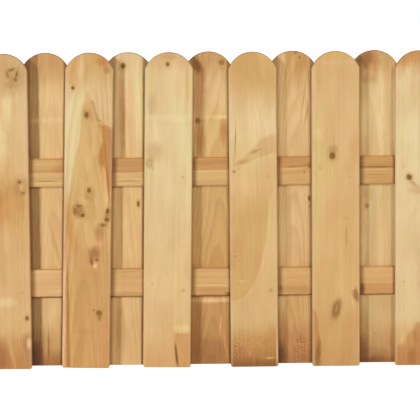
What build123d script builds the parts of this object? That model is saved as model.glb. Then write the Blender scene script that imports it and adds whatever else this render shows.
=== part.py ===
from build123d import *
from math import cos, radians, sin, tan
import os

# A fence panel of upright boards nailed to two rails. The boards stand turn about on
# the front and on the back of the rails, so that each back board closes the gap between
# two front boards.
# X runs along the rails, the front faces -Y and Z is up. The origin is on the ground,
# under the middle of the panel. All sizes are in millimetres.

# Boards
board_width = 136.0
board_thickness = 18.0
board_length = 900.0
crown_rise = 48.0  # from the two shoulders to the top of the round head
board_edge_radius = 5.0  # planed along the four long edges
foot_corner = 4.0  # the clipped corners at the ground

# How the boards stand along the rails
board_pitch = 235.0
# Each board's slip to the side at mid-length, and its lean to the right in degrees,
# as they were nailed
front_standing = [(0.0, 0.0), (-2.0, 1.5), (-9.0, 1.0), (-1.0, -0.1), (-2.0, 0.0), (0.0, 0.0)]
rear_standing = [(-2.0, 0.0), (-1.5, 0.0), (-8.0, 0.0), (-3.5, 0.0), (-5.0, 0.0)]

# Rails
rail_height = 80.0
rail_thickness = 34.0
rail_edge_radius = 6.0
upper_rail_level = 560.0  # from the ground to the rail's middle
lower_rail_level = 242.0

# Nails, two where a board crosses a rail, one high and one low, so that neither splits it
nail_length = 45.0
nail_shank_diameter = 2.8
nail_shank_sides = 6  # flats around, round enough for so small a piece
nail_head_diameter = 6.5
nail_head_sides = 8
nail_head_thickness = 1.2
nail_point_length = 4.5
nail_tip_diameter = 0.6
nail_head_sink = 0.4  # how far the head is driven below the board's face
nail_clearance = 0.05  # around the nail in its hole
nail_edge_distance = 25.0  # from the board's long edge
upper_nail_rises = (12.0, -12.0)  # of the left and the right nail above the rail's middle
lower_nail_rises = (2.0, -20.0)

# Places that follow from the sizes above
rail_front = -rail_thickness / 2
rail_back = rail_thickness / 2
panel_front = rail_front - board_thickness
panel_back = rail_back + board_thickness
rail_length = board_pitch * (len(front_standing) - 1) + board_width
rails = {
    "upper": (upper_rail_level, upper_nail_rises),
    "lower": (lower_rail_level, lower_nail_rises),
}
nail_offset = board_width / 2 - nail_edge_distance
nail_seat = nail_head_sink + nail_head_thickness
nail_point_inset = (nail_shank_diameter - nail_tip_diameter) / 2


def board_middle(index, count, slip):
    """Where the middle of a board stands along the rails, among count boards on its side."""
    return board_pitch * (index - (count - 1) / 2) + slip


def board_plane(middle, lean, near_face):
    """A plane on a board's near face, with its origin at mid-length and Y along the board.

    A leaning board stands on the foot corner that it leans towards.
    """
    turn = radians(lean)
    foot_reach = board_width / 2 - foot_corner
    level = board_length / 2 * cos(turn) + foot_reach * abs(sin(turn))
    return Plane(origin=(middle, near_face, level), x_dir=(cos(turn), 0, -sin(turn)), z_dir=(0, -1, 0))


def nail_spots(middle, lean, rail_level, rises):
    """The left and the right nail of one board on one rail, as (x, z)."""
    spots = []
    for across, rise in zip((-nail_offset, nail_offset), rises):
        level = rail_level + rise
        along = middle + (level - board_length / 2) * tan(radians(lean)) + across
        spots.append((along, level))
    return spots


def nail_shape(start, slack):
    """A nail along +Y, its head from start to its seat, all depths below the board's face.

    With slack it is the hole that the nail sits in.
    """
    driven = Plane(origin=(0, 0, 0), x_dir=(1, 0, 0), z_dir=(0, 1, 0))
    with BuildPart() as shape:
        with BuildSketch(driven.offset(start)):
            RegularPolygon(nail_head_diameter / 2 + slack, nail_head_sides, major_radius=False)
        extrude(amount=nail_seat - start)
        with BuildSketch(driven.offset(nail_seat)):
            RegularPolygon(nail_shank_diameter / 2 + slack, nail_shank_sides, major_radius=False)
        extrude(amount=nail_length - nail_seat)
        end = shape.faces().sort_by(Axis.Y)[-1]
        chamfer(end.edges(), length=nail_point_inset, length2=nail_point_length, reference=end)
    return shape.part


nail = nail_shape(start=nail_head_sink, slack=0.0)
nail_hole = nail_shape(start=-nail_head_thickness, slack=nail_clearance)


def front_locations(spots):
    """Nails driven backwards from the panel's front face."""
    return [Location((x, panel_front, z)) for x, z in spots]


def rear_locations(spots):
    """Nails driven forwards from the panel's back face."""
    return [Location((x, panel_back, z), (0, 0, 180)) for x, z in spots]


def make_board(name, plane, holes):
    """One upright board: round head, rounded long edges, clipped feet and its nail holes."""
    half_width = board_width / 2
    foot = -board_length / 2
    head = board_length / 2
    left_shoulder = (-half_width, head - crown_rise)
    right_shoulder = (half_width, head - crown_rise)
    with BuildPart() as board:
        with BuildSketch(plane):
            with BuildLine():
                Polyline(
                    left_shoulder,
                    (-half_width, foot + foot_corner),
                    (-half_width + foot_corner, foot),
                    (half_width - foot_corner, foot),
                    (half_width, foot + foot_corner),
                    right_shoulder,
                )
                ThreePointArc(right_shoulder, (0, head), left_shoulder)
            make_face()
        extrude(amount=-board_thickness)
        fillet(board.edges().filter_by(Axis((0, 0, 0), plane.y_dir)), radius=board_edge_radius)
        with Locations(*holes):
            add(nail_hole, mode=Mode.SUBTRACT)
    board.part.label = name
    export_step(board.part, f"parts/{name}.step")


def make_rail(name, level, holes):
    """One rail, rounded along its length and flush with the outer edges of the end boards."""
    with BuildPart() as rail:
        with BuildSketch(Plane.YZ.offset(-rail_length / 2)):
            with Locations((0, level)):
                Rectangle(rail_thickness, rail_height)
        extrude(amount=rail_length)
        fillet(rail.edges().filter_by(Axis.X), radius=rail_edge_radius)
        with Locations(*holes):
            add(nail_hole, mode=Mode.SUBTRACT)
    rail.part.label = name
    export_step(rail.part, f"parts/{name}.step")


def make_nails(name, locations):
    """The nails of one side on one rail, each a solid of its own."""
    with BuildPart() as nails:
        with Locations(*locations):
            add(nail)
    nails.part.label = name
    export_step(nails.part, f"parts/{name}.step")


os.makedirs("parts", exist_ok=True)

sides = {
    "front": (front_standing, panel_front, front_locations),
    "rear": (rear_standing, rail_back, rear_locations),
}
nails_on = {(side, rail): [] for side in sides for rail in rails}

for side, (standing, near_face, to_locations) in sides.items():
    for index, (slip, lean) in enumerate(standing):
        middle = board_middle(index, len(standing), slip)
        holes = []
        for rail, (level, rises) in rails.items():
            locations = to_locations(nail_spots(middle, lean, level, rises))
            nails_on[side, rail] += locations
            holes += locations
        make_board(f"{side}_board_{index + 1}", board_plane(middle, lean, near_face), holes)

for rail, (level, rises) in rails.items():
    make_rail(f"{rail}_rail", level, nails_on["front", rail] + nails_on["rear", rail])

for (side, rail), locations in nails_on.items():
    make_nails(f"{side}_nails_{rail}", locations)
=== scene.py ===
from math import cos, radians, sin, tan

import bpy
import numpy as np
from mathutils import Matrix


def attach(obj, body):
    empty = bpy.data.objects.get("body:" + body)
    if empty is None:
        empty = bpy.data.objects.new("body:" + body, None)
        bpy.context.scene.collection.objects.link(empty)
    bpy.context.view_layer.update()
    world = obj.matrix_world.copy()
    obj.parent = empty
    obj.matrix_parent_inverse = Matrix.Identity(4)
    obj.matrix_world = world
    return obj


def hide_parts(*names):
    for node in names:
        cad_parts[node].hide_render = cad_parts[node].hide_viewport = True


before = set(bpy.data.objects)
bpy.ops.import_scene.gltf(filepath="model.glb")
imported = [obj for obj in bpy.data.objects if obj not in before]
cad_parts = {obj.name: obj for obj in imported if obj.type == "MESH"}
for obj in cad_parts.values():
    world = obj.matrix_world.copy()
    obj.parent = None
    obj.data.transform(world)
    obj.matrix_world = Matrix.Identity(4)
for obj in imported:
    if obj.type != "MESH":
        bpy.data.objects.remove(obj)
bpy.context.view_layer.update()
print("frame loaded:", len(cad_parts), "nodes")

# Everything is in millimetres until it is put into a mesh.

board = {
    "width": 136.0,
    "thickness": 18.0,
    "length": 900.0,
    "edgeRadius": 5.0,  # planed long edges
    "crownRise": 48.0,  # shoulders to the top of the round head
    "footCorner": 4.0,  # clipped corners at the ground
    "sawnEdge": 1.3,  # fuzz rubbed off the sawn head and foot
    "pitch": 235.0,
    "frontSlipLean": [(0, 0), (-2, 1.5), (-9, 1), (-1, -0.1), (-2, 0), (0, 0)],
    "rearSlipLean": [(-2, 0), (-1.5, 0), (-8, 0), (-3.5, 0), (-5, 0)],
}
rail = {
    "width": 80.0,
    "thickness": 34.0,
    "length": 1311.0,
    "edgeRadius": 6.0,
    "crownRise": 0.0,
    "footCorner": 0.0,
    "sawnEdge": 0.6,
    "levels": {"upper": 560.0, "lower": 242.0},
}
nail = {
    "length": 45.0,
    "shankRadius": 1.4,
    "headRadius": 3.25,
    "headThickness": 1.2,
    "pointLength": 4.5,
    "tipRadius": 0.3,
    "sink": 0.4,  # head below the board's face
    "edgeDistance": 25.0,
    "rises": {"upper": (12.0, -12.0), "lower": (2.0, -20.0)},  # left and right nail
    "sides": 20,
    "dimpleDepth": 0.8,  # crushed wood round the head
    "dimpleRadius": 4.4,
}
fineness = {
    # how finely a timber is divided
    "roundEdge": 8,
    "flatFace": 27,
    "through": 4,
    "step": 5,  # along the timber
    "sharpFrom": 35,  # degrees between two faces
    "nearNail": 12,  # more points, across and along, at each nail
    "nailReach": 5.5,  # how far out from the nail they lie
}


def timberSkin(timber, nails=(), nailedFace=-1):
    # A solid grid of points across, through and along the timber, of which only the skin is kept.
    # The half thickness falls off as a quarter circle at the long edges, the head follows the arc
    # through both shoulders and the top, and the foot rises by as much as a point lies in its corner.
    half, core, length = timber["width"] / 2, timber["thickness"] / 2, timber["length"]
    radius, rise, corner, rub = (timber[k] for k in ("edgeRadius", "crownRise", "footCorner", "sawnEdge"))
    turn = np.linspace(0, np.pi / 2, fineness["roundEdge"])
    rounded = half - radius + radius * np.sin(turn)
    flat = np.linspace(-half + radius, half - radius, fineness["flatFace"])
    near = np.linspace(-fineness["nailReach"], fineness["nailReach"], fineness["nearNail"])
    steps = np.linspace(0, 1, int(length / fineness["step"]))
    across = np.concatenate([rounded, -rounded, flat] + [x + near for x, z in nails])
    along = np.concatenate([steps, [rub / length, 1 - rub / length]]
                           + [(z + near) / length + 0.5 for x, z in nails])
    across, along = np.unique(across.round(3)), np.unique(along.round(5))
    through = np.linspace(-1, 1, fineness["through"])
    x, y, z = np.meshgrid(across, through, along, indexing="ij")
    inEdge = np.clip(np.abs(x) - (half - radius), 0, radius)
    thick = core - radius + np.sqrt(radius**2 - inEdge**2)
    sawn = (z == 0) | (z == 1)
    y = y * thick * np.where(sawn, 1 - rub / core, 1)
    xs = x * np.where(sawn, 1 - rub / half, 1)
    top = length / 2 + 0 * xs
    if rise:
        arc = (half**2 + rise**2) / (2 * rise)
        top = length / 2 - arc + np.sqrt(arc**2 - xs**2)
    foot = -length / 2 + np.clip(np.abs(xs) - (half - corner), 0, None)
    zs = foot + z * (top - foot)
    for nailX, nailZ in nails:
        apart = np.hypot(xs - nailX, zs - nailZ) / nail["dimpleRadius"]
        onFace = np.sign(y) == nailedFace
        y = y - nailedFace * nail["dimpleDepth"] * np.exp(-apart**4) * onFace
    skin = np.zeros(x.shape, bool)
    skin[[0, -1]] = skin[:, [0, -1]] = skin[:, :, [0, -1]] = True
    number = np.cumsum(skin.ravel()).reshape(x.shape) - 1
    points = np.stack([xs[skin], y[skin], zs[skin]], axis=1)
    sides = [(number[:, 0], 0), (number[:, -1], 1), (number[0], 1), (number[-1], 0),
             (number[:, :, 0], 1), (number[:, :, -1], 0)]
    return points, np.concatenate([quadsOf(grid, flip) for grid, flip in sides])


def quadsOf(grid, flip=False):
    # Four-sided faces between the neighbours of a grid of point numbers.
    quads = np.stack([grid[:-1, :-1], grid[1:, :-1], grid[1:, 1:], grid[:-1, 1:]], axis=-1).reshape(-1, 4)
    return quads[:, ::-1] if flip else quads


def nailSkin(spot):
    # A profile of radius against depth below the face, turned once round the nail's axis.
    # The head is a little domed, and the shank runs to a ground point.
    seat = nail["sink"] + nail["headThickness"]
    head, shank, neck = nail["headRadius"], nail["shankRadius"], nail["length"] - nail["pointLength"]
    top, tip = nail["sink"], nail["length"]
    profile = np.array([
        (0, top), (head * 0.6, top + 0.04), (head * 0.9, top + 0.14), (head, top + 0.4),
        (head, seat - 0.25), (head * 0.93, seat), (shank * 1.3, seat), (shank, seat + 1.5),
        (shank, neck), (nail["tipRadius"], tip - 0.2), (0, tip)])
    around = np.linspace(0, 2 * np.pi, nail["sides"] + 1)
    radius, depth = (profile[:, None, i] for i in (0, 1))
    points = np.stack([radius * np.cos(around), depth + 0 * around, radius * np.sin(around)], axis=-1)
    x, z, face, inwards = spot
    points = points * (inwards, inwards, 1) + (x, face, z)  # the rear nails are turned half round
    count = points.shape[0] * points.shape[1]
    return points.reshape(-1, 3), quadsOf(np.arange(count).reshape(points.shape[:2]))


def makePiece(name, points, quads, material, node):
    mesh = bpy.data.meshes.new(name)
    mesh.from_pydata((points / 1000).tolist(), [], quads.tolist())
    mesh.polygons.foreach_set("use_smooth", np.ones(len(quads), bool))
    mesh.materials.append(material)
    piece = bpy.data.objects.new(name, mesh)
    bpy.context.scene.collection.objects.link(piece)
    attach(piece, "root")
    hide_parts(node)
    return piece


def tint(*seen):
    # Red, green and blue as seen on the screen, 0 to 255, in the linear values that the nodes take.
    return tuple(((c / 255 + 0.055) / 1.055) ** 2.4 if c > 10 else c / 255 / 12.92 for c in seen) + (1,)


def isVector(value):
    return isinstance(value, tuple) or isinstance(value, Value) and value.socket.type != "VALUE"


def pick(sockets, key):
    # A socket by its number, or the one in use that has the name.
    return sockets[key] if isinstance(key, int) else next(s for s in sockets if s.enabled and s.name == key)


class Value:
    # One output in a material, on which + - * / and ** add nodes.
    def __init__(self, material, socket):
        self.material, self.socket = material, socket

    def combine(self, operation, first, second):
        kind = "ShaderNodeVectorMath" if isVector(first) or isVector(second) else "ShaderNodeMath"
        return self.material.node(kind, {"operation": operation}, {0: first, 1: second})

    def __add__(self, other): return self.combine("ADD", self, other)
    def __radd__(self, other): return self.combine("ADD", other, self)
    def __sub__(self, other): return self.combine("SUBTRACT", self, other)
    def __rsub__(self, other): return self.combine("SUBTRACT", other, self)
    def __mul__(self, other): return self.combine("MULTIPLY", self, other)
    def __rmul__(self, other): return self.combine("MULTIPLY", other, self)
    def __truediv__(self, other): return self.combine("DIVIDE", self, other)
    def __rtruediv__(self, other): return self.combine("DIVIDE", other, self)
    def __pow__(self, other): return self.combine("POWER", self, other)


class Material:
    # The nodes of a new material or world.
    def __init__(self, made):
        self.made = made
        self.made.use_nodes = True
        self.tree = self.made.node_tree
        self.tree.nodes.clear()

    def node(self, kind, settings, inputs, output=0):
        made = self.tree.nodes.new(kind)
        for key, value in settings.items():
            if key == "interpolation":
                made.color_ramp.interpolation = value
            elif key == "stops":
                ramp = made.color_ramp
                for index, (place, colour) in enumerate(value):
                    stop = ramp.elements[index] if index < 2 else ramp.elements.new(place)
                    stop.position, stop.color = place, colour
            else:
                setattr(made, key, value)
        for key, value in inputs.items():
            socket = pick(made.inputs, key)
            if isinstance(value, Value):
                self.tree.links.new(value.socket, socket)
            elif isinstance(value, (int, float)) and socket.type == "VECTOR":
                socket.default_value = (value,) * 3
            else:
                socket.default_value = value
        return Value(self, pick([s for s in made.outputs if s.enabled], output))

    def noise(self, point, scale, detail=2.0, roughness=0.5, output="Fac"):
        return self.node("ShaderNodeTexNoise", {}, {
            "Vector": point * scale, "Scale": 1.0, "Detail": detail, "Roughness": roughness}, output)

    def ease(self, value, start, end, low=0.0, high=1.0):
        # An eased step from low at start to high at end.
        return self.node("ShaderNodeMapRange", {"interpolation_type": "SMOOTHSTEP"}, {
            "Value": value, "From Min": start, "From Max": end, "To Min": low, "To Max": high})

    def mix(self, share, first, second, blend="MIX"):
        return self.node("ShaderNodeMix", {"data_type": "RGBA", "blend_type": blend}, {
            "Factor": share, "A": first, "B": second})

    def dot(self, first, second):
        product = {"operation": "DOT_PRODUCT"}
        return self.node("ShaderNodeVectorMath", product, {0: first, 1: second}, "Value")

    def split(self, point):
        return [self.node("ShaderNodeSeparateXYZ", {}, {"Vector": point}, axis) for axis in range(3)]

    def finish(self, colour, roughness, height, depth, metallic=0.0, specular=0.3):
        # height is in the unit of depth, the bump's full height in metres
        normal = self.node("ShaderNodeBump", {}, {"Strength": 1.0, "Distance": depth, "Height": height})
        shader = self.node("ShaderNodeBsdfPrincipled", {}, {
            "Base Color": colour, "Roughness": roughness, "Metallic": metallic,
            "Specular IOR Level": specular, "Normal": normal})
        return self.surface("ShaderNodeOutputMaterial", shader)

    def surface(self, kind, shader):
        output = self.tree.nodes.new(kind)
        self.tree.links.new(shader.socket, output.inputs["Surface"])
        return self.made


# How each timber's wood looks. Places are on the timber, from its middle: across, along.
# tones: height and colour, from the foot up
# rings: the heart's place across, its depth behind the front, how both drift along the timber, and the
#        rings' spacing and strength
# areas: a list of height, left edge, right edge; then colour, softness of the edges, fades at the two
#        ends, strength
# patches: across, along, half size across and along, colour, strength, and any turn in degrees
# knots: across, along, half size across and along, strength, and any turn in degrees
# tears: short torn marks across the grain: across, along, half size across and along, strength
# A timber that has no areas or no tears leaves them out.
wood = {}
wood["front_board_1"] = {
    "tones": [
        (-430, (186, 132, 78)), (-375, (200, 150, 94)), (-335, (216, 176, 120)), (60, (217, 175, 116)),
        (330, (222, 188, 134)), (430, (212, 174, 118)),
    ],
    "rings": (-30, 60, 0.05, 0.03, 8.0, 0.09),
    "patches": [
        (0, 20, 80, 62, (202, 148, 80), 0.8), (-24, 36, 26, 26, (196, 136, 66), 0.5),
        (50, 28, 9, 15, (180, 150, 84), 0.4), (30, 386, 34, 44, (186, 146, 92), 0.6),
        (8, 348, 22, 26, (194, 150, 96), 0.55), (10, 290, 14, 48, (238, 216, 158), 0.6),
        (-20, 200, 24, 76, (234, 214, 152), 0.7), (46, 180, 30, 90, (226, 192, 140), 0.6),
        (45, 74, 24, 28, (176, 126, 72), 0.6), (47, 74, 5, 13, (222, 178, 126), 0.8),
        (0, -256, 27, 14, (234, 210, 154), 0.6), (10, -400, 6, 56, (216, 168, 108), 0.7, -12),
        (-22, -415, 26, 44, (160, 98, 48), 0.75), (58, -376, 15, 27, (160, 112, 58), 0.75),
        (61, -376, 8, 17, (228, 190, 146), 0.9), (2, -70, 9, 44, (228, 192, 138), 0.4),
        (58, -110, 8, 150, (224, 176, 124), 0.5), (27, 391, 6, 9, (216, 176, 120), 0.7),
        (24, 362, 18, 10, (176, 138, 78), 0.4), (28, 384, 16, 18, (176, 130, 76), 0.5),
        (30, -20, 12, 22, (200, 160, 92), 0.5),
    ],
    "knots": [
        (39, 392, 3.2, 13, 0.8, 14), (24, 405, 11, 4, 0.65, -16), (34, 377, 7, 4, 0.7, 20),
        (13, 390, 4, 11, 0.55, -10), (42, 87, 6, 5, 0.8), (51, 56, 6, 4, 0.6), (56, -303, 5.5, 7, 0.9),
        (-38, -120, 6, 7, 0.6),
    ],
}
wood["front_board_2"] = {
    "tones": [
        (-450, (203, 154, 94)), (-150, (207, 161, 101)), (40, (214, 172, 112)), (330, (222, 188, 133)),
        (440, (208, 164, 102)),
    ],
    "rings": (-10, 75, 0.0, 0.05, 8.0, 0.2),
    "areas": [
        ([(370, -75, -20), (335, -75, -13), (300, -75, -18), (250, -75, -21), (205, -75, -22),
          (185, -75, -28), (160, -75, -36), (120, -75, -40), (80, -75, -46), (10, -75, -56)],
         (230, 212, 160), 4, (70, 70), 0.75),
        ([(345, -5, -3), (318, -12, 6), (290, -18, 17), (265, -21, 22), (252, -21, 40), (240, -22, 62),
          (228, -23, 80), (185, -28, 80), (160, -36, 80), (120, -40, 80), (60, -48, 80), (0, -60, 80),
          (-120, -75, 80)],
         (214, 173, 110), 3.5, (16, 120), 0.85),
        ([(322, 0, 7), (300, 11, 17), (280, 17, 22), (262, 21, 29), (250, 30, 48)],
         (176, 128, 66), 2.5, (10, 10), 0.6),
        ([(252, 26, 48), (244, 28, 58), (232, 34, 80), (225, 36, 80), (200, 42, 80), (180, 33, 80),
          (150, 25, 80), (120, 34, 80), (100, 44, 80), (40, 54, 80)],
         (192, 132, 68), 5, (10, 40), 0.8),
        ([(142, 37, 41), (120, 39, 48), (80, 44, 53), (40, 47, 56), (-5, 47, 53)],
         (238, 188, 126), 3, (20, 20), 0.8),
        ([(-130, -58, -56), (-200, -57, -52), (-300, -56, -48), (-450, -55, -44)],
         (170, 104, 46), 1.6, (60, 5), 0.75),
    ],
    "patches": [
        (-44, 400, 17, 40, (212, 168, 102), 0.6), (-22, 385, 7, 62, (236, 210, 152), 0.6),
        (34, 428, 22, 15, (196, 124, 60), 0.7, 24), (10, 436, 26, 8, (214, 168, 104), 0.5),
        (50, 402, 9, 10, (166, 122, 60), 0.7), (-2, 282, 20, 26, (194, 144, 82), 0.5),
        (-20, 140, 15, 70, (222, 186, 124), 0.55, 8), (4, 47, 17, 15, (188, 138, 74), 0.6),
        (62, 250, 10, 12, (226, 196, 140), 0.8), (65, 175, 7, 80, (200, 132, 106), 0.6),
        (42, 165, 8, 34, (178, 118, 50), 0.5), (58, 70, 3, 60, (178, 118, 50), 0.7, -6),
        (10, 165, 9, 44, (228, 192, 126), 0.65, 8), (-47, -55, 12, 62, (200, 136, 72), 0.7, -8),
        (4, -78, 20, 44, (226, 192, 124), 0.55), (33, -93, 18, 8, (228, 172, 122), 0.7),
        (20, -120, 15, 20, (164, 110, 54), 0.85), (34, -58, 14, 20, (178, 122, 62), 0.6),
        (12, -143, 5, 11, (140, 88, 36), 0.85, -15), (27, -138, 7, 4, (146, 94, 42), 0.85),
        (23, -156, 6, 7, (240, 196, 148), 0.95), (-27, 2, 16, 19, (150, 98, 44), 0.8),
        (-26, 4, 5, 5, (186, 136, 78), 0.6), (58, -12, 8, 28, (156, 96, 38), 0.85, 8),
        (-64, -290, 5, 170, (234, 196, 150), 0.75), (-40, -250, 8, 200, (222, 182, 112), 0.5),
        (15, -190, 40, 30, (200, 148, 86), 0.5), (-10, -345, 26, 8, (196, 146, 88), 0.5),
        (58, -335, 8, 36, (210, 146, 98), 0.6), (60, -60, 4, 60, (232, 190, 124), 0.5),
    ],
    "knots": [
        (-46, 350, 4.5, 5.5, 1.0), (-6, 274, 6.5, 9, 0.9), (3, 61, 6, 8, 0.9), (-15, -12, 8, 5, 0.9),
        (57, 2, 6, 9, 0.95), (55, -22, 7, 6, 0.95), (44, -38, 9, 6, 0.7), (36, -291, 9, 9, 0.9),
        (-24, 15, 9, 4, 0.8), (-36, 0, 3.5, 10, 0.7), (-14, -10, 5, 5, 0.9), (37, -304, 4, 9, 0.5),
        (20, -283, 3.5, 3.5, 0.5),
    ],
}
wood["front_board_3"] = {
    "tones": [
        (-445, (208, 162, 106)), (-340, (218, 180, 125)), (-200, (222, 188, 133)), (200, (227, 203, 152)),
        (380, (225, 197, 143)), (440, (217, 180, 126)),
    ],
    "rings": (10, 120, 0.02, 0.03, 9.0, 0.05),
    "areas": [([(-347, 21, 80), (-380, 20, 80), (-450, 24, 80)], (200, 148, 88), 4, (8, 2), 0.75)],
    "patches": [
        (0, 437, 27, 9, (202, 160, 102), 0.6), (52, 355, 8, 70, (214, 174, 104), 0.65),
        (-52, 380, 14, 60, (216, 192, 126), 0.4), (-47, 300, 12, 36, (204, 170, 118), 0.65),
        (0, 265, 100, 10, (234, 215, 165), 0.5), (-30, 222, 9, 58, (236, 210, 158), 0.5),
        (-42, 168, 27, 26, (206, 168, 112), 0.6), (-54, 136, 12, 14, (172, 142, 76), 0.7),
        (-54, 136, 6, 7, (212, 182, 122), 0.9), (55, 150, 8, 130, (220, 200, 132), 0.5),
        (5, 416, 7, 10, (234, 194, 150), 0.6), (45, -337, 28, 10, (228, 206, 144), 0.7),
        (60, -400, 12, 30, (200, 138, 88), 0.4), (28, -418, 4, 34, (112, 64, 18), 0.9, -7),
        (-30, -300, 12, 90, (216, 182, 132), 0.5),
    ],
    "knots": [(-4, 416, 5.5, 6.5, 0.9), (41, 97, 3, 3, 0.3), (45, -227, 4, 4, 0.4)],
}
wood["front_board_4"] = {
    "tones": [
        (-445, (140, 88, 42)), (-412, (176, 124, 68)), (-380, (192, 144, 84)), (-310, (214, 178, 121)),
        (100, (221, 185, 127)), (245, (228, 199, 147)), (400, (210, 166, 104)),
    ],
    "rings": (-60, 110, 0.12, 0.12, 9.0, 0.07),
    "areas": [
        ([(222, 55, 80), (200, 20, 80), (178, 0, 80), (165, -14, 64), (150, -32, 10), (138, -46, -12),
          (126, -60, -54)],
         (208, 166, 108), 8, (16, 4), 0.65),
        ([(90, -80, 80), (40, -80, 48), (0, -80, 43), (-50, -80, 38), (-100, -80, 33), (-150, -80, 21),
          (-190, -80, 8), (-220, -80, -7), (-245, -80, -28), (-258, -80, -52), (-266, -80, -80)],
         (207, 163, 101), 1.8, (110, 2), 0.8),
        ([(-80, 35, 39), (-150, 24, 29), (-190, 10, 16), (-220, -5, 3), (-245, -26, -15)],
         (230, 192, 138), 3, (30, 10), 0.35),
    ],
    "patches": [
        (-28, 139, 17, 7, (190, 140, 82), 0.6, -16), (5, 168, 15, 4, (174, 130, 70), 0.7, -22),
        (-50, 200, 1.8, 48, (170, 132, 80), 0.8, 2), (-54, 145, 1.6, 26, (176, 138, 84), 0.5, 3),
        (44, -425, 13, 2.5, (226, 166, 106), 0.9), (66, -400, 4, 52, (224, 188, 134), 0.9),
        (-15, -398, 9, 22, (206, 148, 90), 0.6), (-36, -203, 11, 2.6, (228, 190, 126), 0.75, -12),
        (50, -360, 12, 34, (196, 140, 82), 0.5), (-29, -30, 14, 60, (210, 170, 106), 0.5),
        (-50, 400, 16, 40, (204, 158, 92), 0.5),
    ],
    "knots": [(-54, 111, 4, 3, 0.7), (43, 98, 3.5, 3.5, 0.35), (47, -229, 4.5, 4.5, 0.4)],
    "tears": [(-58, -138, 14, 30, 0.5), (-52, -398, 14, 32, 1.0), (0, -380, 70, 26, 0.35)],
}
wood["front_board_5"] = {
    "tones": [
        (-450, (196, 150, 92)), (-340, (205, 161, 102)), (-230, (214, 172, 114)), (100, (217, 178, 120)),
        (420, (216, 177, 120)),
    ],
    "rings": (8, 140, 0.0, 0.02, 11.0, 0.05),
    "areas": [
        ([(-275, -80, -66), (-300, -80, -56), (-350, -80, -48), (-400, -80, -42), (-450, -80, -39)],
         (186, 132, 70), 2.5, (20, 2), 0.75),
    ],
    "patches": [
        (-5, 438, 44, 11, (216, 176, 98), 0.75), (12, 418, 40, 8, (222, 184, 136), 0.5),
        (-50, 385, 9, 50, (206, 164, 96), 0.5), (-62, 330, 7, 90, (226, 180, 136), 0.5),
        (-52, 217, 15, 16, (236, 212, 154), 0.5), (-52, 110, 16, 240, (218, 190, 124), 0.55),
        (54, 165, 16, 48, (216, 160, 106), 0.5), (34, 118, 10, 24, (204, 160, 104), 0.4),
        (30, -76, 4, 28, (194, 144, 86), 0.65), (30, -25, 9, 6, (204, 158, 98), 0.5),
        (-8, 172, 14, 13, (176, 134, 74), 0.7), (-6, 215, 5, 40, (204, 168, 110), 0.5),
        (60, -345, 8, 66, (212, 154, 104), 0.5), (57, -246, 9, 23, (150, 102, 44), 0.9, -12),
        (48, -226, 4, 4, (234, 190, 122), 0.8), (50, -264, 6, 8, (230, 182, 122), 0.5),
        (1, -286, 13, 31, (144, 96, 40), 0.95, 14), (1, -283, 4, 13, (184, 136, 76), 0.8, 14),
        (-52, -415, 8, 40, (124, 82, 32), 0.75, 3), (-44, 120, 6, 8, (206, 166, 100), 0.5),
    ],
    "knots": [(-10, 154, 9, 11, 0.95)],
}
wood["front_board_6"] = {
    "tones": [
        (-440, (180, 122, 70)), (-375, (204, 156, 98)), (-310, (221, 190, 139)), (200, (229, 206, 157)),
        (370, (226, 197, 147)), (435, (198, 146, 84)),
    ],
    "rings": (-15, 110, 0.02, 0.02, 9.0, 0.06),
    "areas": [
        ([(-318, -6, 80), (-345, -16, 80), (-362, -32, 80), (-382, -46, 80), (-398, -64, 80),
          (-450, -80, 80)],
         (186, 132, 74), 8, (16, 2), 0.65),
    ],
    "patches": [
        (-44, 424, 18, 22, (202, 140, 80), 0.65, 35), (-56, 394, 10, 24, (214, 160, 110), 0.4),
        (4, 55, 30, 14, (200, 162, 106), 0.65), (-15, 72, 13, 6, (192, 150, 94), 0.65, 38),
        (-48, -368, 11, 22, (222, 186, 130), 0.6), (-19, -425, 13, 28, (156, 100, 50), 0.7),
        (-10, -375, 5, 30, (168, 116, 60), 0.55), (-36, 240, 14, 70, (222, 204, 150), 0.5),
    ],
    "knots": [(-28.5, 91, 8, 9, 0.95), (34, -180, 7, 8, 0.7), (20, 330, 5, 6, 0.7)],
}
wood["rear_board_1"] = {
    "tones": [
        (-440, (166, 114, 62)), (-390, (198, 156, 98)), (-300, (222, 190, 135)), (-60, (221, 186, 129)),
        (300, (221, 189, 134)), (430, (205, 161, 103)),
    ],
    "rings": (20, 70, 0.0, 0.05, 7.0, 0.16),
    # painted shadow: darker on the front face from the left edge to the end of front board 1's cast shadow
    "areas": [
        ([(450, -80, -20), (100, -80, -20), (60, -80, -22), (-450, -80, -22)],
         (132, 86, 42), 3, (1, 1), 0.62),
    ],
    "patches": [
        (14, 258, 50, 9, (234, 204, 152), 0.4), (12, 260, 4, 24, (236, 208, 156), 0.4),
        (8, 402, 22, 40, (204, 160, 104), 0.5), (-44, -425, 22, 48, (70, 40, 42), 0.7),
        (-30, -400, 8, 40, (110, 68, 50), 0.4), (-3, -392, 2.6, 52, (148, 94, 34), 0.75),
        (18, -90, 5, 60, (198, 156, 102), 0.45, -12), (28, -118, 4, 30, (196, 154, 100), 0.45, -10),
        (30, -330, 12, 44, (208, 176, 112), 0.5), (8, 330, 7, 70, (230, 194, 140), 0.4),
    ],
    "knots": [(-38, 130, 5, 6, 0.6)],
}
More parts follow.
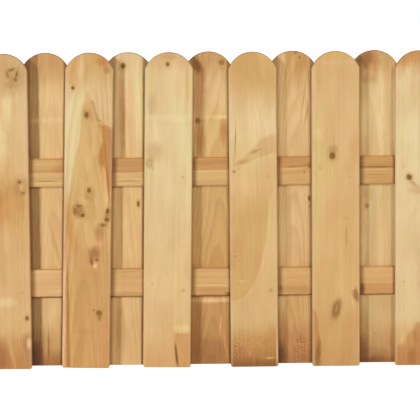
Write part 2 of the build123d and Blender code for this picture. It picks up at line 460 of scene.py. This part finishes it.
wood["rear_board_2"] = {
    "tones": [(-450, (219, 182, 127)), (0, (224, 190, 134)), (300, (223, 194, 143))],
    "rings": (-20, 60, 0.0, 0.03, 6.0, 0.16),
    "patches": [
        (-18, 280, 9, 150, (196, 140, 80), 0.65), (-13, 236, 3, 92, (164, 114, 54), 0.5),
        (28, 342, 8, 84, (226, 218, 162), 0.65), (26, 212, 8, 62, (232, 208, 154), 0.5),
        (-23, -60, 2.8, 115, (176, 128, 64), 0.5), (6, 300, 8, 100, (226, 178, 124), 0.4),
        (-32, -360, 11, 110, (176, 130, 78), 0.5),
    ],
    "knots": [(-14, 412, 7, 8.5, 1.0), (25, 17, 4, 8, 1.0)],
}
wood["rear_board_3"] = {
    "tones": [
        (-445, (172, 122, 70)), (-340, (192, 146, 88)), (-200, (205, 162, 102)), (200, (212, 178, 120)),
        (340, (218, 186, 132)), (430, (200, 156, 99)),
    ],
    "rings": (25, 60, 0.05, 0.06, 7.0, 0.2),
    "patches": [
        (-31, 253, 8, 8, (92, 52, 16), 0.9), (-28, 325, 20, 66, (180, 114, 72), 0.55),
        (-33, 412, 12, 26, (128, 74, 32), 0.8, -20), (-24, 205, 15, 54, (168, 114, 60), 0.6),
        (3, 200, 8, 62, (224, 186, 134), 0.5), (42, 226, 12, 40, (190, 132, 72), 0.75),
        (28, 264, 34, 6, (234, 198, 144), 0.75), (4, -264, 62, 7, (238, 198, 144), 0.9),
        (38, -370, 3, 62, (216, 152, 98), 0.75, -6), (29, -338, 3, 32, (224, 178, 120), 0.65, 6),
        (46, -402, 4, 52, (208, 152, 98), 0.65, -8), (-38, -350, 15, 120, (150, 98, 50), 0.5),
        (-5, -410, 42, 40, (152, 100, 54), 0.5), (-14, 380, 10, 40, (180, 128, 74), 0.5),
    ],
    "knots": [(38, 419, 8, 9, 0.6)],
    "tears": [(38, -410, 10, 40, 0.3)],
}
wood["rear_board_4"] = {
    "tones": [
        (-445, (170, 118, 68)), (-390, (190, 140, 86)), (-300, (211, 169, 112)), (0, (219, 187, 134)),
        (300, (218, 187, 133)), (430, (203, 159, 97)),
    ],
    "rings": (5, 55, 0.05, 0.06, 6.0, 0.2),
    # painted light: paler on the front face from the left edge to the end of the front board's cast shadow
    "areas": [([(450, -80, -21), (-330, -80, -21)], (238, 206, 152), 3, (1, 60), 0.65)],
    "patches": [
        (2, 300, 6, 150, (230, 192, 140), 0.45), (32, 322, 2.5, 60, (186, 138, 80), 0.6, 8),
        (39, 268, 3, 40, (186, 138, 80), 0.6, 10), (18, 370, 2, 50, (190, 142, 84), 0.5, 5),
        (2, -20, 6, 130, (232, 194, 140), 0.5), (-10, -130, 6, 200, (198, 152, 98), 0.5),
        (-40, -425, 18, 40, (70, 40, 40), 0.65), (30, -80, 4, 100, (200, 156, 104), 0.5),
    ],
    "knots": [(46, 28, 3.5, 7, 1.0), (8, 445, 4, 3, 0.7), (20, 432, 3, 4.5, 0.6), (47, 6, 3, 7, 0.3)],
    "tears": [(20, -402, 17, 48, 1.0)],
}
wood["rear_board_5"] = {
    "tones": [
        (-445, (160, 110, 58)), (-405, (190, 148, 92)), (-310, (208, 175, 121)), (-150, (208, 178, 126)),
        (300, (217, 192, 141)), (430, (204, 160, 104)),
    ],
    "rings": (-10, 70, 0.0, 0.02, 7.0, 0.1),
    # painted light: paler on the front face from the left edge to the end of the front board's cast shadow
    "areas": [([(330, -80, -19), (-330, -80, -19)], (240, 208, 152), 3, (60, 60), 0.6)],
    "patches": [
        (-24, 426, 22, 28, (142, 86, 28), 0.75, 20), (8, 412, 15, 26, (192, 130, 70), 0.7),
        (32, 425, 14, 30, (194, 158, 98), 0.5), (-16, 368, 26, 14, (186, 144, 84), 0.55),
        (16, 270, 11, 140, (232, 210, 156), 0.75), (-14, 230, 9, 130, (204, 172, 114), 0.6),
        (46, 250, 8, 130, (200, 162, 110), 0.55), (-20, 42, 14, 24, (194, 162, 90), 0.55),
        (18, 50, 3, 27, (238, 206, 142), 0.65), (18, -80, 13, 120, (228, 198, 142), 0.6),
        (-10, -445, 44, 16, (96, 52, 26), 0.6), (-10, -420, 40, 16, (140, 96, 54), 0.4),
        (-36, -412, 18, 38, (116, 70, 42), 0.6),
    ],
    "knots": [(-22, 5, 6, 7, 0.5)],
    "tears": [(-5, -360, 22, 40, 0.4)],
}
wood["upper_rail"] = {
    "tones": [(-655, (217, 182, 119)), (0, (213, 172, 112)), (244, (205, 162, 101)), (655, (199, 153, 93))],
    "rings": (-40, 80, 0.0, 0.01, 9.0, 0.15),
    "areas": [
        ([(-700, -45, 0), (-420, -45, -2), (-270, -45, 0), (-60, -45, -4), (50, -45, -5), (190, -45, -11),
          (290, -45, -12), (420, -45, -7), (700, -45, -7)],
         (192, 140, 82), 1.6, (1, 1), 0.85),
    ],
    "patches": [
        (-20, -480, 20, 44, (216, 176, 114), 0.75), (-26, 240, 14, 60, (184, 132, 74), 0.4),
        (-28, 470, 13, 60, (210, 164, 102), 0.45), (-6, -434, 10, 8, (206, 140, 84), 0.6),
        (23, -470, 1.2, 34, (146, 100, 46), 0.75), (29, -475, 2, 36, (228, 186, 128), 0.6),
        (24, -240, 1.2, 34, (146, 100, 46), 0.75), (31, -240, 2, 30, (232, 190, 132), 0.6),
        (-2, 0, 1.8, 62, (228, 186, 128), 0.6), (-10, 470, 2.6, 56, (148, 96, 46), 0.75),
        (-3, 470, 1.8, 56, (232, 188, 132), 0.65), (12, 470, 1.4, 30, (160, 110, 58), 0.5),
        (-14, 244, 3, 34, (160, 102, 50), 0.65, -4), (-26, 200, 10, 16, (206, 142, 86), 0.5),
        (-7, 230, 2, 34, (228, 184, 126), 0.5),
    ],
    "knots": [(-14, 276, 6, 5, 0.7), (2, 262, 4, 3, 0.4)],
}
wood["lower_rail"] = {
    "tones": [
        (-655, (220, 178, 124)), (-380, (219, 177, 122)), (-240, (210, 167, 108)), (655, (211, 166, 108)),
    ],
    "rings": (30, 80, 0.0, 0.01, 9.0, 0.12),
    "areas": [
        # painted shade: darker along the lower rounded edge, which faces down
        ([(-700, 35.5, 50), (700, 35.5, 50)], (112, 66, 26), 1.5, (1, 1), 0.8),
        ([(400, 6, 36), (530, 6, 36)], (192, 136, 80), 3, (2, 2), 0.75),
    ],
    "patches": [
        (32, -236, 9, 52, (184, 138, 74), 0.65), (-34, -236, 2, 44, (188, 142, 80), 0.6),
        (8, 0, 2, 52, (234, 190, 134), 0.75), (24, 0, 12, 60, (192, 142, 84), 0.75),
        (34, 46, 7, 9, (118, 72, 24), 0.85), (24, 236, 14, 60, (188, 138, 82), 0.75),
        (18, 195, 8, 6, (150, 98, 48), 0.6), (22, 427, 18, 7, (118, 72, 34), 0.75),
        (36, -12, 3, 44, (150, 102, 48), 0.6),
    ],
    "knots": [(-8, -90, 8, 10, 0.7), (15, 350, 8, 11, 0.7)],
}
nailRust = {"radius": 4.2, "tone": (170, 124, 70), "strength": 0.25}
paintedShadeBeside = {
    # painted shade beside a covering board, on the rails and rear boards: its tone, and how far out and how
    # strongly it lies to the right and to the left of that board
    "tone": (0.30, 0.20, 0.12, 1),
    "fade": (1.35, 0.35),  # where the painted shade starts and is full, times how far out it lies
    "behind": (-25, -15),  # the board, where it ends and is full
    "rear_board_1": ((5, 0.5), (8, 0.85)),
    "rear_board_2": ((6, 0.55), (8, 0.85)),
    "rear_board_3": ((5, 0.3), (4, 0.65)),
    "rear_board_4": ((10, 0.45), (3, 0.65)),
    "rear_board_5": ((11, 0.5), (0, 0.6)),
    "upper_rail": ((15, 0.65), (7, 0.7)),
    "lower_rail": ((15, 0.6), (7, 0.7)),
}
grain = {
    # the size of each pattern across and along the timber, then the noise's detail and roughness
    "waver": (70, 260, 2.0, 0.5),
    "uneven": (9, 22, 3.0, 0.5),
    "streaks": (9, 420, 3.0, 0.6),
    "fibres": (0.9, 38, 2.0, 0.6),
    "hair": (3.2, 110, 2.0, 0.5),
    "blotches": (45, 130, 2.0, 0.5),
    "warmth": (40, 110, 2.0, 0.5),
    "dashes": (12, 2.6, 2.0, 0.5),
    "rings": (40, 500, 1.0, 0.5),
    "nextTree": 3000.0,  # how far along the noise the next timber starts
    "warmthStart": (300, 0, 0),  # keeps warmth apart from the other patterns
}
sway = {
    # how far the patterns push marks about, in millimetres
    "longPatch": (8, 0, 50),
    "longFrom": 90,  # half length from which a patch is a long one
    "rings": (16, 10, 0),
    "outline": (5, 16),  # across and along
    "toneBorder": (60, 30),  # by hair and by blotches
    "seam": 2,
    "spot": 0.9,  # in half sizes
}
fade = {
    # where a mark starts to show and where it is full, in its own half sizes
    "patch": (1.55, 0.3),
    "tear": (1.3, 0.5),
    "roundKnot": (3.6, 0.4),
    "halo": (2.6, 0.7),
    "knot": (1.15, 0.7),
    "rust": (1.1, 0.6),
}
ringForm = {
    "darkens": (0.25, 0.88),  # over these shares of a ring
    "ends": (1.0, 0.9),
    "uneven": 1.4,  # how far growth moves the rings, in rings
    "growth": (0.3, 0.7),
    "strength": (0.5, 1.4),  # over that growth, times the timber's own
    "bulge": 1.1,  # round a knot, times its half width
}
shading = {
    # where each kind of shade runs from pale to dark, and what the wood is multiplied by there
    "streaks": ((0.3, 0.72), (1.03, 1.04, 1.06, 1), (0.97, 0.955, 0.93, 1)),
    "blotches": ((0.36, 0.64), (1.025, 1.045, 1.07, 1), (0.97, 0.95, 0.92, 1)),
    "warmth": ((0.38, 0.62), (0.995, 1.02, 0.99, 1), (1.01, 0.985, 1.01, 1)),
    "fibres": ((0.3, 0.7), (1.02, 1.03, 1.04, 1), (0.98, 0.97, 0.96, 1)),
}
marks = {
    "lateWood": (0.62, 0.46, 0.30, 1),
    "tornWood": (0.66, 0.52, 0.36, 1),
    "knotHalo": (186, 136, 66),
    # from a knot's middle to its edge, in half sizes
    "knotBody": [(0.0, (86, 52, 12)), (0.3, (104, 66, 16)), (0.55, (146, 100, 36)), (0.8, (98, 62, 16)),
                 (1.0, (146, 102, 40))],
    "haloStrength": 0.5,
    "knotStrength": 0.95,
    "outlineReach": 100,  # half the width that an area's edges may span
    "front": (4, -4),  # where areas start and are full, through the timber
    "torn": (0.5, 0.66),  # between these heights of the dashes
    "toneMargin": 50,  # beyond the timber's ends
}
edgeHighlightAndRim = {
    "planed": (9, 3),  # from the long edge, where the paler band starts and is full: partly planed wood, partly a painted highlight on the rounded edge
    "planedTone": (228, 198, 156),
    "planedStrength": 0.25,
    "rim": (4.5, 1),  # from the head's arc, where the darker band starts and is full
    "rimTone": (0.70, 0.62, 0.50, 1),
    "rimStrength": 0.45,
    "rimBelow": (50, 40),  # below the top, where the band starts and is full
}
sawnEnd = {
    "facing": (0.12, 0.3),  # along the timber
    "tone": (148, 118, 80),
    "strength": 0.6,
    "rougher": 0.15,
    "grainScale": 0.9,
    "relief": 2,  # times the fibres'
}
woodFace = {"fibres": (0.2, 0.8), "roughness": (0.52, 0.7), "streakRelief": 0.5, "relief": 0.00018}


class Pine(Material):
    # The wood of one timber. Points are in millimetres on the timber: across, through and along, from
    # its middle. The methods below spot each lay one kind of mark over the colour so far.
    def __init__(self, name, timber, knots, centre, turn, seed):
        super().__init__(bpy.data.materials.new(name))
        self.timber, self.turn = timber, turn
        objectPoint = self.node("ShaderNodeTexCoord", {}, {}, "Object")
        self.point = self.node("ShaderNodeMapping", {"vector_type": "TEXTURE"}, {
            "Vector": objectPoint, "Location": tuple(c / 1000 for c in centre),
            "Rotation": (0, turn, 0), "Scale": (0.001,) * 3})
        self.across, self.through, self.along = self.split(self.point)
        grown = self.point + (0, 0, seed * grain["nextTree"])
        self.waver = self.pattern("waver", grown, "Color") - (0.5, 0.5, 0.5)
        self.loose = self.point + self.waver * sway["longPatch"]
        self.uneven = self.pattern("uneven", grown) - 0.5  # makes edges and outlines irregular
        self.patterns = {kind: self.pattern(kind, grown)
                         for kind in ("streaks", "fibres", "hair", "blotches", "dashes", "rings")}
        self.patterns["warmth"] = self.pattern("warmth", grown + grain["warmthStart"])
        self.knotSpots = [(self.spot(x, z, halfX, halfZ, *turned), halfX, strength)
                          for x, z, halfX, halfZ, strength, *turned in knots]

    def pattern(self, kind, point, output="Fac"):
        # Noise that is drawn out along the timber.
        wide, long, detail, roughness = grain[kind]
        return self.noise(point, (1 / wide, 1 / wide, 1 / long), detail, roughness, output)

    def spot(self, x, z, halfX, halfZ, degreesTurned=0):
        # The distance from a place on the face, in that mark's half sizes; the depth doesn't count.
        source = self.loose if halfZ > sway["longFrom"] else self.point
        placed = self.node("ShaderNodeMapping", {"vector_type": "TEXTURE"}, {
            "Vector": source, "Location": (x, 0, z), "Rotation": (0, radians(degreesTurned), 0),
            "Scale": (halfX, 1e5, halfZ)})
        distance = self.node("ShaderNodeVectorMath", {"operation": "LENGTH"}, {0: placed}, "Value")
        return distance + self.uneven * sway["spot"]

    def tones(self, stops):
        # The colour at each height, with borders made ragged by hair and blotches.
        reach = self.timber["length"] / 2 + marks["toneMargin"]
        byHair, byBlotches = sway["toneBorder"]
        height = (self.along + (self.patterns["hair"] - 0.5) * byHair
                  + (self.patterns["blotches"] - 0.5) * byBlotches)
        placed = [((z + reach) / (2 * reach), tint(*shade)) for z, shade in stops]
        return self.node("ShaderNodeValToRGB", {"stops": placed, "interpolation": "EASE"}, {
            "Fac": (height + reach) / (2 * reach)})

    def area(self, colour, outline, shade, soft, fades, strength):
        # Between a left and a right edge, each read at the point's height from one ramp's red and green.
        # It lies on the front face alone.
        outline, reach = sorted(outline), marks["outlineReach"]
        bottom, top = outline[0][0], outline[-1][0]
        shares = [((z - bottom) / (top - bottom), (left + reach) / (2 * reach), (right + reach) / (2 * reach))
                  for z, left, right in outline]
        stops = [(height, (left, right, 0, 1)) for height, left, right in shares]
        x, z = self.across + self.uneven * sway["outline"][0], self.along + self.uneven * sway["outline"][1]
        edges = self.node("ShaderNodeValToRGB", {"stops": stops}, {"Fac": (z - bottom) / (top - bottom)})
        left, right = (self.node("ShaderNodeSeparateColor", {}, {"Color": edges}, side) * (2 * reach) - reach
                       for side in ("Red", "Green"))
        mask = self.ease(x - left, -soft, soft) * self.ease(right - x, -soft, soft)
        mask = mask * self.ease(top - z, 0, fades[0]) * self.ease(z - bottom, 0, fades[1])
        return self.mix(mask * self.ease(self.through, *marks["front"]) * strength, colour, tint(*shade))

    def patch(self, colour, x, z, halfX, halfZ, shade, strength, degreesTurned=0):
        mask = self.ease(self.spot(x, z, halfX, halfZ, degreesTurned), *fade["patch"], 0, strength)
        return self.mix(mask, colour, tint(*shade))

    def tear(self, colour, x, z, halfX, halfZ, strength):
        mask = self.ease(self.spot(x, z, halfX, halfZ), *fade["tear"], 0, strength)
        mask = mask * self.ease(self.patterns["dashes"], *marks["torn"])
        return self.mix(mask, colour, marks["tornWood"], "MULTIPLY")

    def shades(self, colour):
        # Growth, weather and fibres each lighten and darken the wood about its mean.
        for kind, (bounds, pale, dark) in shading.items():
            shade = self.mix(self.ease(self.patterns[kind], *bounds), pale, dark)
            colour = self.mix(1.0, colour, shade, "MULTIPLY")
        return colour

    def rings(self, colour, heartX, heartDepth, driftX, driftDepth, spacing, contrast):
        # The distance from a heart that drifts along the timber, counted in spacings. Each count darkens
        # slowly to late wood and ends at once.
        across, depth, along = self.split(self.point + self.waver * sway["rings"])
        sideways, deep = across - along * driftX - heartX, depth - along * driftDepth - heartDepth
        fromHeart = (sideways**2 + deep**2) ** 0.5
        for reach, size, _ in self.knotSpots:  # the grain flows round each knot
            fromHeart = fromHeart + self.ease(reach, *fade["roundKnot"], 0, ringForm["bulge"] * size)
        growth = self.patterns["rings"]
        count = fromHeart / spacing + growth * ringForm["uneven"]
        ring = self.node("ShaderNodeMath", {"operation": "FRACT"}, {0: count})
        late = self.ease(ring, *ringForm["darkens"]) * self.ease(ring, *ringForm["ends"])
        share = late * self.ease(growth, *ringForm["growth"], *(s * contrast for s in ringForm["strength"]))
        return self.mix(share, colour, marks["lateWood"], "MULTIPLY")

    def knots(self, colour):
        # A warm halo, and within it a body with a dark middle and a dark bark ring.
        bodyStops = [(place, tint(*shade)) for place, shade in marks["knotBody"]]
        for reach, _, strength in self.knotSpots:
            halo = self.ease(reach, *fade["halo"], 0, marks["haloStrength"] * strength)
            colour = self.mix(halo, colour, tint(*marks["knotHalo"]))
            body = self.node("ShaderNodeValToRGB", {"stops": bodyStops}, {"Fac": reach})
            inside = self.ease(reach, *fade["knot"], 0, marks["knotStrength"] * strength)
            colour = self.mix(inside, colour, body)
        return colour

    def rust(self, colour, x, z):
        radius = nailRust["radius"]
        mask = self.ease(self.spot(x, z, radius, radius * 1.3), *fade["rust"], 0, nailRust["strength"])
        return self.mix(mask, colour, tint(*nailRust["tone"]))

    def edges(self, colour):
        # A board's long edges are paler, partly as planed wood and partly as a painted highlight on the
        # rounded edge, and the rim of its round head is darker.
        half, top, rise = self.timber["width"] / 2, self.timber["length"] / 2, self.timber["crownRise"]
        fromMiddle = self.node("ShaderNodeMath", {"operation": "ABSOLUTE"}, {0: self.across})
        bounds = [half - inset for inset in edgeHighlightAndRim["planed"]]
        # painted highlight, with the planed wood's paler tone, along the long edges
        pale = self.ease(fromMiddle, *bounds, 0, edgeHighlightAndRim["planedStrength"])
        colour = self.mix(pale, colour, tint(*edgeHighlightAndRim["planedTone"]))
        arc = (half**2 + rise**2) / (2 * rise)
        fromArc = (self.across**2 + (self.along - (top - arc)) ** 2) ** 0.5
        rim = (self.ease(fromArc, *(arc - inset for inset in edgeHighlightAndRim["rim"]))
               * self.ease(self.along, *(top - below for below in edgeHighlightAndRim["rimBelow"])))
        return self.mix(rim * edgeHighlightAndRim["rimStrength"], colour, edgeHighlightAndRim["rimTone"], "MULTIPLY")

    def seam(self, colour, facing, reach, width, strength):
        # Painted shade beside a covering board's edge, the line on which facing . point is reach.
        beyond = self.dot(self.point, facing) - reach
        bounds = [width * share for share in paintedShadeBeside["fade"]]
        mask = self.ease(beyond + self.uneven * sway["seam"], *bounds, 0, strength)
        return self.mix(mask * self.ease(beyond, *paintedShadeBeside["behind"]), colour, paintedShadeBeside["tone"], "MULTIPLY")

    def finishWood(self, colour):
        # The sawn head and foot show end grain, duller and greyer.
        facing = self.node("ShaderNodeTexCoord", {}, {}, "Normal")
        endOn = self.dot(facing, (sin(self.turn), 0, cos(self.turn)))
        endOn = self.node("ShaderNodeMath", {"operation": "ABSOLUTE"}, {0: endOn})
        sawn = self.ease(endOn, *sawnEnd["facing"])
        colour = self.mix(sawn * sawnEnd["strength"], colour, tint(*sawnEnd["tone"]))
        fibres, streaks = self.patterns["fibres"], self.patterns["streaks"]
        roughness = self.ease(fibres, *woodFace["fibres"], *woodFace["roughness"]) + sawn * sawnEnd["rougher"]
        endGrain = self.noise(self.point, sawnEnd["grainScale"], 3.0)
        height = fibres + streaks * woodFace["streakRelief"] + sawn * endGrain * sawnEnd["relief"]
        return self.finish(colour, roughness, height, woodFace["relief"])


def woodMaterial(name, look, timber, centre, turn, rusted, paintedShadeLines, seed):
    pine = Pine(name, timber, look["knots"], centre, turn, seed)
    colour = pine.tones(look["tones"])
    for area in look.get("areas", []):
        colour = pine.area(colour, *area)
    for patch in look["patches"]:
        colour = pine.patch(colour, *patch)
    for tear in look.get("tears", []):
        colour = pine.tear(colour, *tear)
    colour = pine.shades(colour)
    colour = pine.rings(colour, *look["rings"])
    colour = pine.knots(colour)
    for nailX, nailZ in rusted:
        colour = pine.rust(colour, nailX, nailZ)
    if timber["crownRise"]:
        colour = pine.edges(colour)
    # painted shade beside the front boards' edges
    for seam in paintedShadeLines:
        colour = pine.seam(colour, *seam)
    return pine.finishWood(colour)


steelLook = {
    "bright": (214, 180, 120),
    "dull": (184, 142, 84),
    "metallic": 0.4,
    "blotchScale": 900,
    "blotches": (0.4, 0.65),
    "roughness": (0.45, 0.7),
    "relief": 0.00005,
}


def nailMaterial():
    # Bright zinc, dulled in blotches.
    m = Material(bpy.data.materials.new("nail_steel"))
    point = m.node("ShaderNodeTexCoord", {}, {}, "Object")
    blotches = m.noise(point, steelLook["blotchScale"], 3.0)
    dulled = m.ease(blotches, *steelLook["blotches"])
    colour = m.mix(dulled, tint(*steelLook["bright"]), tint(*steelLook["dull"]))
    roughness = m.ease(blotches, *steelLook["blotches"], *steelLook["roughness"])
    return m.finish(colour, roughness, blotches, steelLook["relief"], steelLook["metallic"])


def sideBoards(side):
    # Each board's name, its middle, its lean, and for each rail the x and height of its two nails.
    table = board[side + "SlipLean"]
    faceY = rail["thickness"] / 2 + board["thickness"] / 2
    for index, (slip, lean) in enumerate(table):
        lean = radians(lean)
        x = board["pitch"] * (index - (len(table) - 1) / 2) + slip
        z = board["length"] / 2 * cos(lean) + (board["width"] / 2 - board["footCorner"]) * abs(sin(lean))
        centre = (x, -faceY if side == "front" else faceY, z)
        spots = {}
        for railName, level in rail["levels"].items():
            offset = board["width"] / 2 - nail["edgeDistance"]
            for across, rise in zip((-offset, offset), nail["rises"][railName]):
                nailZ = level + rise
                nailX = x + (nailZ - board["length"] / 2) * tan(lean) + across
                spots.setdefault(railName, []).append((nailX, nailZ))
        yield f"{side}_board_{index + 1}", centre, lean, spots


def toTimber(points, centre, turn):
    # From the panel to a timber's own across and along.
    return [((x - centre[0]) * cos(turn) - (z - centre[2]) * sin(turn),
             (x - centre[0]) * sin(turn) + (z - centre[2]) * cos(turn)) for x, z in points]


def stand(points, centre, turn):
    # The timber is turned about the depth axis and moved to its middle.
    spin = np.array([[cos(turn), 0, sin(turn)], [0, 1, 0], [-sin(turn), 0, cos(turn)]])
    return points @ spin.T + centre


def paintedShadeLinesOn(name, centre, turn):
    # The edges of the front boards on a timber behind them, in the timber's own across and along:
    # for each a unit vector out of the board, the edge's reach along it, and the painted shade's width and
    # strength.
    for _, (x, y, z), lean, _ in sideBoards("front"):
        for side, (width, strength) in zip((1, -1), paintedShadeBeside[name]):
            outX, outZ = side * cos(lean), -side * sin(lean)
            edge = (x + outX * board["width"] / 2, z + outZ * board["width"] / 2)
            across, along = toTimber([edge], centre, turn)[0]
            facing = (outX * cos(turn) - outZ * sin(turn), 0.0, outX * sin(turn) + outZ * cos(turn))
            if "rail" in name or abs(edge[0] - centre[0]) < board["width"] / 2:
                yield facing, across * facing[0] + along * facing[2], width, strength


def makeTimber(name, slotName, timber, centre, turn, seed, nails=(), nailedFace=-1):
    points, quads = timberSkin(timber, nails, nailedFace)
    rusted = nails if nailedFace < 0 else []  # the rust of a rear board's nails is behind it
    # painted shade beside the front boards, on the rails and rear boards
    paintedShadeLines = paintedShadeLinesOn(name, centre, turn) if name in paintedShadeBeside else []
    material = woodMaterial(name + "_pine", wood[name], timber, centre, turn, rusted, paintedShadeLines, seed)
    piece = makePiece(name + "_wood", stand(points, centre, turn), quads, material, name)
    piece.data.set_sharp_from_angle(angle=radians(fineness["sharpFrom"]))


nailSpots = {(side, railName): [] for side in ("front", "rear") for railName in rail["levels"]}
seed = 0
for side, nailedFace in (("front", -1), ("rear", 1)):
    for name, centre, lean, spots in sideBoards(side):
        seed += 1
        own = toTimber([spot for several in spots.values() for spot in several], centre, lean)
        makeTimber(name, side + "_boards", board, centre, lean, seed, own, nailedFace)
        for railName, several in spots.items():
            nailSpots[side, railName] += several
print("boards made")

for railName, level in rail["levels"].items():
    seed += 1
    makeTimber(railName + "_rail", "rails", rail, (0.0, 0.0, level), radians(90), seed)
print("rails made")

steel = nailMaterial()
outerFace = rail["thickness"] / 2 + board["thickness"]
for (side, railName), spots in nailSpots.items():
    inwards = 1 if side == "front" else -1
    skins = [nailSkin((x, z, -outerFace * inwards, inwards)) for x, z in spots]
    starts = np.cumsum([0] + [len(points) for points, quads in skins])
    points = np.concatenate([points for points, quads in skins])
    quads = np.concatenate([quads + start for (_, quads), start in zip(skins, starts)])
    name = f"{side}_nails_{railName}"
    makePiece(name + "_steel", points, quads, steel, name)
print("nails made")


lamps = {
    # where it shines from, in degrees round from the front and up, strength, size in degrees, colour
    "key": (-32, 4, 1.12, 6.0, (0.95, 1.0, 1.10)),
    "softRight": (9.0, 14, 0.90, 4.0, (1.08, 0.97, 0.78)),
    "softLeft": (-8, 8, 0.16, 5.0, (1.0, 1.0, 1.0)),
    "top": (0, 82, 1.0, 15.0, (1.0, 1.0, 1.0)),
    "backRight": (150, 12, 1.25, 20.0, (1.0, 1.0, 1.0)),
    "backLeft": (-150, 16, 0.75, 20.0, (1.0, 1.0, 1.0)),
}
for name, (azimuth, elevation, strength, size, colour) in lamps.items():
    lamp = bpy.data.lights.new(name, "SUN")
    lamp.energy, lamp.angle, lamp.color = strength, radians(size), colour
    lampObject = bpy.data.objects.new(name, lamp)
    swung = Matrix.Rotation(radians(azimuth), 4, "Z")
    lampObject.matrix_world = swung @ Matrix.Rotation(radians(90 - elevation), 4, "X")
    bpy.context.scene.collection.objects.link(lampObject)


def litForCamera(material, plain, seen):
    # The camera and mirror rays get one shader, all others the plain one.
    path = {name: material.node("ShaderNodeLightPath", {}, {}, name) for name in
            ("Is Camera Ray", "Is Glossy Ray", "Is Transmission Ray")}
    share = path["Is Camera Ray"] + path["Is Glossy Ray"] + path["Is Transmission Ray"]
    return material.node("ShaderNodeMixShader", {}, {0: share, 1: plain, 2: seen})


studio = {
    "white": (1, 1, 1, 1),
    "sky": 0.1,
    "floor": (0.8, 0.8, 0.8, 1),
    "floorSeen": (0.5, 0.5, 0.5, 1),  # by the camera, with the glow
    "floorGlow": 0.86,
    "floorReach": 40,  # metres
}
world = Material(bpy.data.worlds.new("studio"))
bpy.context.scene.world = world.made
sky = world.node("ShaderNodeBackground", {}, {"Color": studio["white"], "Strength": studio["sky"]})
backdrop = world.node("ShaderNodeBackground", {}, {"Color": studio["white"], "Strength": 1.0})
world.surface("ShaderNodeOutputWorld", litForCamera(world, sky, backdrop))

pale = Material(bpy.data.materials.new("floor_white"))
matt = pale.node("ShaderNodeBsdfDiffuse", {}, {"Color": studio["floor"]})
glow = pale.node("ShaderNodeEmission", {}, {"Color": studio["white"], "Strength": studio["floorGlow"]})
shaded = pale.node("ShaderNodeBsdfDiffuse", {}, {"Color": studio["floorSeen"]})
seen = pale.node("ShaderNodeAddShader", {}, {0: shaded, 1: glow})
floorMesh = bpy.data.meshes.new("floor")
far = studio["floorReach"]
floorMesh.from_pydata([(-far, -far, 0), (far, -far, 0), (far, far, 0), (-far, far, 0)], [], [(0, 1, 2, 3)])
floorMesh.materials.append(pale.surface("ShaderNodeOutputMaterial", litForCamera(pale, matt, seen)))
floor = bpy.data.objects.new("floor", floorMesh)
bpy.context.scene.collection.objects.link(floor)
print("studio made")

view = {
    "sensor": 36.0,  # width
    "focal": 2151.2 / 420 * 36.0,  # 2151.2 pixels of a picture 420 wide
    "place": (-77.7, -6106.0, 1116.5),
    "down": 6.239,
    "right": 0.665,
    "roll": 0.47,
    "farthest": 200,  # metres
}
cameraData = bpy.data.cameras.new("camera")
cameraData.sensor_width, cameraData.lens = view["sensor"], view["focal"]
cameraData.clip_end = view["farthest"]
camera = bpy.data.objects.new("camera", cameraData)
turns = ((-view["right"], "Z"), (90 - view["down"], "X"), (-view["roll"], "Z"))
swung, tipped, rolled = (Matrix.Rotation(radians(degrees), 4, axis) for degrees, axis in turns)
camera.matrix_world = Matrix.Translation([c / 1000 for c in view["place"]]) @ swung @ tipped @ rolled
bpy.context.scene.collection.objects.link(camera)
bpy.context.scene.camera = camera
bpy.context.scene.view_settings.view_transform = "Standard"
print("camera made")
